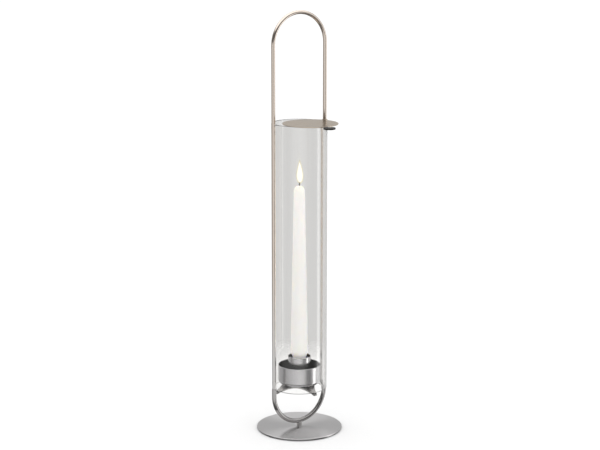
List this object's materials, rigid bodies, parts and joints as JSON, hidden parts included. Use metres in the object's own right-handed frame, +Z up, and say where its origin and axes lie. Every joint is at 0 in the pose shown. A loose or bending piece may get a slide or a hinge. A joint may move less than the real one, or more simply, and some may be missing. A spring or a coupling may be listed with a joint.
{
  "type": "candle lantern",
  "caption": "Tall slim candle lantern: steel hoop handle on a round foot, glass cylinder, taper candle in a steel cup, and a thin lid that swings about one bar.",
  "frame": {"origin": "middle of the resting face of the foot, on the floor", "axes": "+Z up; +X from the axis towards the bar of the hoop that carries the lid; +Y completes a right-handed frame, to the back"},
  "size_m": [0.111, 0.1246, 0.5445],
  "materials": {
    "brushed_foot": "satin, brushed",
    "brushed_rod": "satin, ground along the rod",
    "brushed_sheet": "satin sheet",
    "brushed_cup": "satin, brushed round",
    "brushed_lid": "satin, brushed",
    "zinc_fastener": "zinc plated",
    "spring_steel": "bright spring steel",
    "black_enamel": "matt black enamel",
    "black_grip": "matt black moulding",
    "clear_glass": "clear, fire-polished rims",
    "candle_wax": "smooth wax",
    "wick_cotton": "charred cotton",
    "grey_pad": "soft pad"
  },
  "bodies": {
    "stand": {"base_pad": "grey_pad", "base_plate": "brushed_foot", "base_screw": "zinc_fastener", "stem": "brushed_rod", "lower_hoop": "brushed_rod", "spider": "brushed_sheet", "cup": "brushed_cup", "cup_screw": "zinc_fastener", "cup_nut": "zinc_fastener"},
    "handle": {"upper_hoop": "brushed_rod", "stop_collar": "brushed_rod"},
    "lid": {"lid_plate": "brushed_lid", "lid_sleeve": "brushed_rod", "lid_grip": "black_grip", "grip_rivet": "brushed_sheet"},
    "glass": {"glass_cylinder": "clear_glass"},
    "insert": {"candle_holder": "brushed_cup", "holder_floor": "brushed_cup", "holder_springs": "spring_steel", "drip_tray": "black_enamel"},
    "taper": {"candle": "candle_wax", "wick": "wick_cotton"}
  },
  "joints": [
    {"name": "hoop_lift", "type": "slide", "parent": "stand", "child": "handle", "axis": [0, 0, 1], "range_m": [0, 0.38]},
    {"name": "lid_swing", "type": "hinge", "parent": "handle", "child": "lid", "pos_m": [0.0395, 0, 0.4005], "axis": [0, 0, 1], "range_deg": [-27, 265]},
    {"name": "glass_lift", "type": "slide", "parent": "stand", "child": "glass", "axis": [0, 0, 1], "range_m": [0, 0.304]},
    {"name": "insert_lift", "type": "slide", "parent": "stand", "child": "insert", "axis": [0, 0, 1], "range_m": [0, 0.026]},
    {"name": "candle_lift", "type": "slide", "parent": "insert", "child": "taper", "axis": [0, 0, 1], "range_m": [0, 0.04]}
  ],
  "couplings": [
    {"joint": "glass_lift", "follows": "hoop_lift", "ratio": 0.8}
  ]
}
